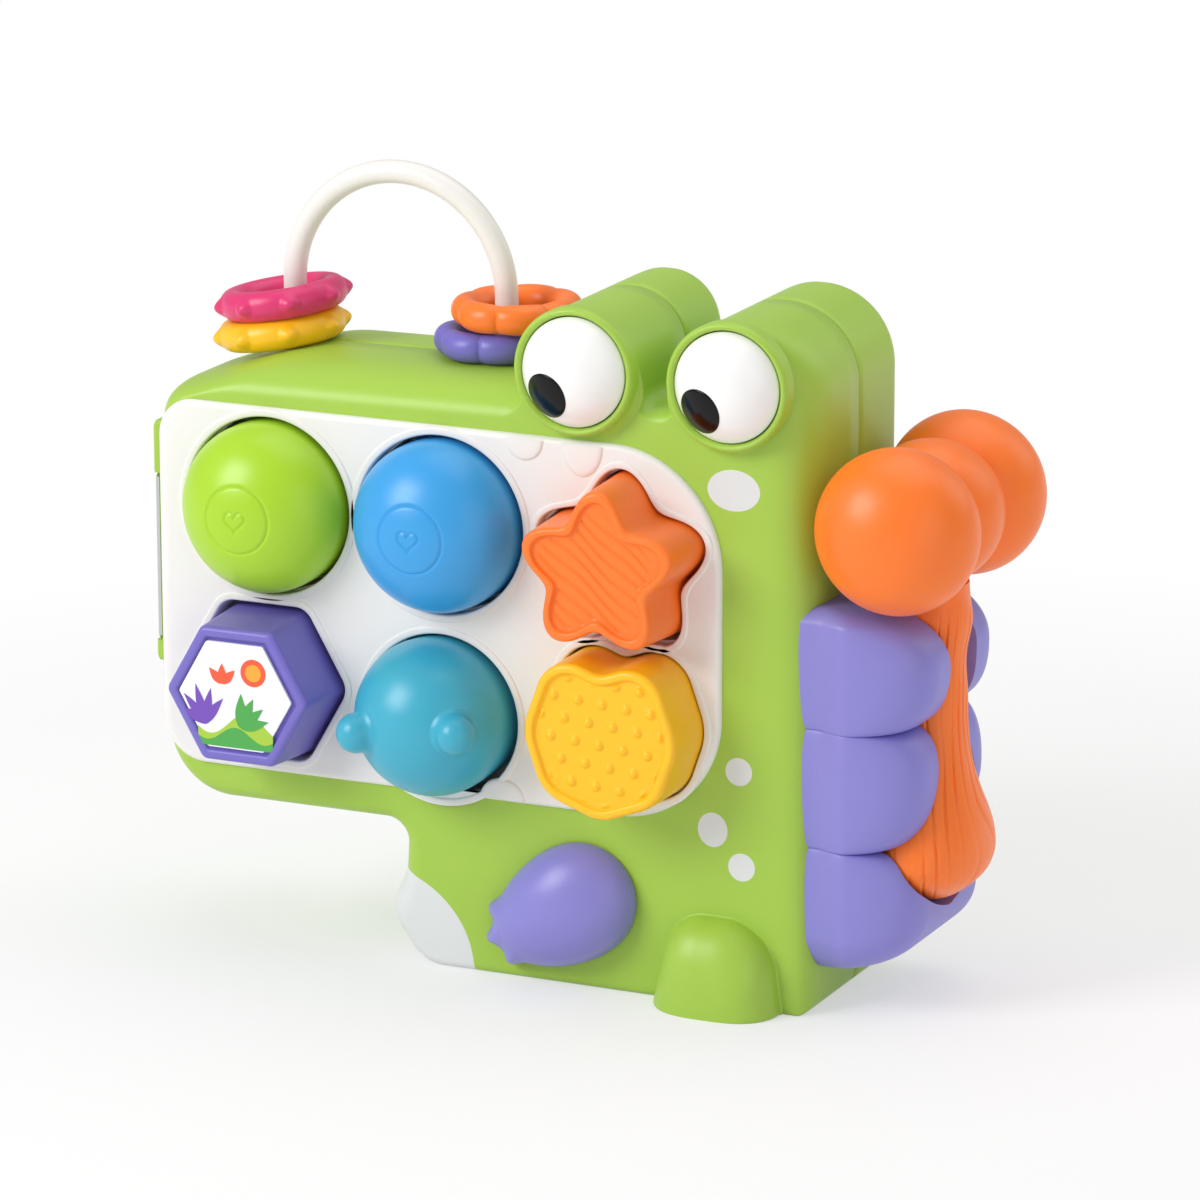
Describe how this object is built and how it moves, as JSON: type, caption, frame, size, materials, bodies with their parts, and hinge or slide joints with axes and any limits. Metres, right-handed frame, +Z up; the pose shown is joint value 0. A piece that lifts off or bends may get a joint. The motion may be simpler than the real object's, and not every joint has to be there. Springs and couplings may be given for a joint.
{
  "type": "shape sorter",
  "caption": "Upright animal-shaped shape sorter with pop-out shape blocks in a mouth plate, rolling eyes, rings on an arch handle, a turning paw and a hammer clipped to its back.",
  "frame": {"origin": "on the base, in the middle of the body's depth, 14 mm to the back of the left eye's axis", "axes": "+Z up, -Y the front that the blocks come out of, +X the animal's back with the hammer"},
  "size_m": [0.267, 0.1099, 0.2361],
  "materials": {
    "green": "satin",
    "white": "satin",
    "lime": "satin",
    "blue": "satin",
    "orange": "satin",
    "yellow": "satin",
    "teal": "satin",
    "purple": "satin",
    "violet": "satin",
    "magenta": "satin",
    "eye_white": "gloss",
    "black": "gloss",
    "mirror": "polished",
    "steel": "plain"
  },
  "bodies": {
    "body": {"front_shell": "green", "rear_shell": "green", "face_plate": "white", "pocket_tray": "white", "arch_handle": "white", "back_bumps": "purple", "mirror_carrier": "green", "mirror_plate": "mirror", "screw_1": "steel", "screw_2": "steel", "screw_3": "steel", "screw_4": "steel", "screw_5": "steel", "screw_6": "steel"},
    "green_block": {"green_dome_block": "lime"},
    "blue_block": {"blue_dome_block": "blue"},
    "star": {"star_block": "orange"},
    "hexagon": {"hexagon_block": "violet", "hexagon_picture": "white"},
    "ball": {"ball_block": "teal"},
    "heart": {"heart_block": "yellow"},
    "left_eye": {"left_eyeball": "eye_white", "left_pupil": "black", "left_eye_retainer": "white"},
    "right_eye": {"right_eyeball": "eye_white", "right_pupil": "black", "right_eye_retainer": "white"},
    "yellow_ring": {"yellow_ring": "yellow"},
    "magenta_ring": {"magenta_ring": "magenta"},
    "purple_ring": {"purple_ring": "purple"},
    "orange_ring": {"orange_ring": "orange"},
    "paw": {"paw": "purple", "paw_retainer": "white"},
    "hammer": {"hammer_head": "orange", "hammer_handle": "orange"}
  },
  "joints": [
    {"name": "green_block_out", "type": "slide", "parent": "body", "child": "green_block", "axis": [0, -1, 0], "range_m": [0, 0.05]},
    {"name": "blue_block_out", "type": "slide", "parent": "body", "child": "blue_block", "axis": [0, -1, 0], "range_m": [0, 0.05]},
    {"name": "star_out", "type": "slide", "parent": "body", "child": "star", "axis": [0, -1, 0], "range_m": [0, 0.05]},
    {"name": "hexagon_out", "type": "slide", "parent": "body", "child": "hexagon", "axis": [0, -1, 0], "range_m": [0, 0.05]},
    {"name": "ball_out", "type": "slide", "parent": "body", "child": "ball", "axis": [0, -1, 0], "range_m": [0, 0.05]},
    {"name": "heart_out", "type": "slide", "parent": "body", "child": "heart", "axis": [0, -1, 0], "range_m": [0, 0.05]},
    {"name": "left_eye_turn", "type": "hinge", "parent": "body", "child": "left_eye", "pos_m": [-0.0141, -0.038, 0.187], "axis": [0, 1, 0], "continuous": true},
    {"name": "right_eye_turn", "type": "hinge", "parent": "body", "child": "right_eye", "pos_m": [0.0341, -0.038, 0.187], "axis": [0, 1, 0], "continuous": true},
    {"name": "yellow_ring_climb", "type": "hinge", "parent": "body", "child": "yellow_ring", "pos_m": [-0.0894, 0.002, 0.1945], "axis": [0, 1, 0], "range_deg": [0, 40]},
    {"name": "magenta_ring_climb", "type": "hinge", "parent": "yellow_ring", "child": "magenta_ring", "pos_m": [-0.0894, 0.002, 0.1975], "axis": [0, 1, 0], "range_deg": [0, 28]},
    {"name": "purple_ring_climb", "type": "hinge", "parent": "body", "child": "purple_ring", "pos_m": [-0.0894, 0.002, 0.1975], "axis": [0, -1, 0], "range_deg": [0, 40]},
    {"name": "orange_ring_climb", "type": "hinge", "parent": "purple_ring", "child": "orange_ring", "pos_m": [-0.0894, 0.002, 0.1975], "axis": [0, -1, 0], "range_deg": [0, 28]},
    {"name": "paw_turn", "type": "hinge", "parent": "body", "child": "paw", "pos_m": [-0.0178, -0.0343, 0.0255], "axis": [0, 1, 0], "range_deg": [0, 35]},
    {"name": "hammer_out", "type": "slide", "parent": "body", "child": "hammer", "axis": [1, 0, 0], "range_m": [0, 0.06]}
  ]
}
